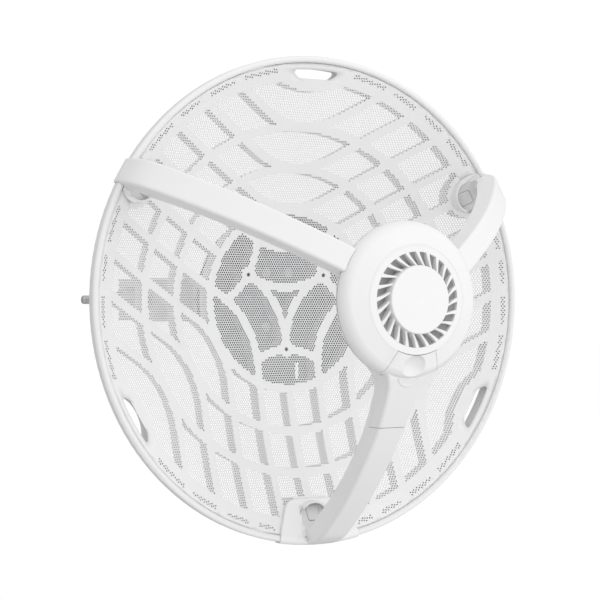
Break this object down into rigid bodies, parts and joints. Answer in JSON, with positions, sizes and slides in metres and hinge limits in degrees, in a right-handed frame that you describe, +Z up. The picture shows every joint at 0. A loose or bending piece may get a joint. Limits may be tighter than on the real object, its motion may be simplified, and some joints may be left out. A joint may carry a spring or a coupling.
{
  "type": "outdoor wireless bridge",
  "caption": "Perforated parabolic dish with a round radio head on three arms, carried by a tilting and turning bracket on a two-jaw pole clamp.",
  "frame": {"origin": "on the pole's axis, level with the middle of the clamp's jaws", "axes": "+Z up along the pole, the dish looks along -Y, +X to the right seen from the front"},
  "size_m": [0.413, 0.3542, 0.4143],
  "materials": {
    "dish_plastic": "fine matt",
    "rim_plastic": "fine matt",
    "head_plastic": "fine matt",
    "arm_plastic": "fine matt",
    "disc_plastic": "satin",
    "latch_plastic": "fine matt",
    "seal_rubber": "soft",
    "screw_steel": "zinc plated",
    "bare_aluminium": "bare",
    "board_laminate": "solder mask",
    "shield_steel": "tinned",
    "jack_shell": "plated",
    "button_plastic": "plain",
    "dark_plastic": "plain",
    "bracket_paint": "powder coat",
    "clamp_paint": "powder coat",
    "bolt_zinc": "zinc plated"
  },
  "bodies": {
    "clamp": {"pole_jaw_fixed": "clamp_paint", "clamp_studs": "bolt_zinc", "azimuth_pivot_bolt": "bolt_zinc", "azimuth_lock_bolt": "bolt_zinc"},
    "loose_jaw": {"pole_jaw_loose": "clamp_paint", "clamp_washers": "bolt_zinc", "clamp_nuts": "bolt_zinc"},
    "yoke": {"azimuth_yoke": "bracket_paint", "tilt_pivot_bolts": "bolt_zinc", "tilt_lock_bolts": "bolt_zinc"},
    "dish": {"reflector_skin": "dish_plastic", "reflector_frame": "dish_plastic", "rim_ring": "rim_plastic", "arm_upper_right": "arm_plastic", "arm_upper_left": "arm_plastic", "arm_lower": "arm_plastic", "arm_back_strip_upper_right": "arm_plastic", "arm_back_strip_upper_left": "arm_plastic", "arm_back_strip_lower": "arm_plastic", "foot_screws": "screw_steel", "hub_housing": "head_plastic", "hub_cover": "head_plastic", "hub_gasket": "seal_rubber", "hub_screws": "screw_steel", "vent_ring": "head_plastic", "centre_disc": "disc_plastic", "heat_sink": "bare_aluminium", "radio_board": "board_laminate", "board_screws": "screw_steel", "shield_can": "shield_steel", "feed_horn": "bare_aluminium", "feed_lens": "disc_plastic", "ethernet_jack": "jack_shell", "reset_switch": "dark_plastic", "port_seal": "seal_rubber", "back_plate": "dark_plastic", "back_plate_screws": "screw_steel", "tilt_bracket": "bracket_paint", "bracket_bolts": "bolt_zinc"},
    "port_cover": {"port_cover": "head_plastic"},
    "reset_button": {"reset_button": "button_plastic"},
    "foot_latch_upper_right": {"foot_latch_upper_right": "latch_plastic"},
    "foot_latch_upper_left": {"foot_latch_upper_left": "latch_plastic"},
    "foot_latch_lower": {"foot_latch_lower": "latch_plastic"}
  },
  "joints": [
    {"name": "jaw_slide", "type": "slide", "parent": "clamp", "child": "loose_jaw", "axis": [-1, 0, 0], "range_m": [0, 0.018]},
    {"name": "azimuth_turn", "type": "hinge", "parent": "clamp", "child": "yoke", "pos_m": [0.062, -0.028, 0], "axis": [0, 0, 1], "range_deg": [-10, 10]},
    {"name": "tilt_turn", "type": "hinge", "parent": "yoke", "child": "dish", "pos_m": [0.05, -0.063, 0], "axis": [1, 0, 0], "range_deg": [-16, 16]},
    {"name": "port_cover_pull", "type": "slide", "parent": "dish", "child": "port_cover", "axis": [0, -1, 0], "range_m": [0, 0.025]},
    {"name": "reset_press", "type": "slide", "parent": "dish", "child": "reset_button", "axis": [0, 1, 0], "range_m": [0, 0.0008], "stiffness_N_per_m": 500},
    {"name": "latch_press_upper_right", "type": "slide", "parent": "dish", "child": "foot_latch_upper_right", "axis": [0, 1, 0], "range_m": [0, 0.0025], "stiffness_N_per_m": 400},
    {"name": "latch_press_upper_left", "type": "slide", "parent": "dish", "child": "foot_latch_upper_left", "axis": [0, 1, 0], "range_m": [0, 0.0025], "stiffness_N_per_m": 400},
    {"name": "latch_press_lower", "type": "slide", "parent": "dish", "child": "foot_latch_lower", "axis": [0, 1, 0], "range_m": [0, 0.0025], "stiffness_N_per_m": 400}
  ]
}
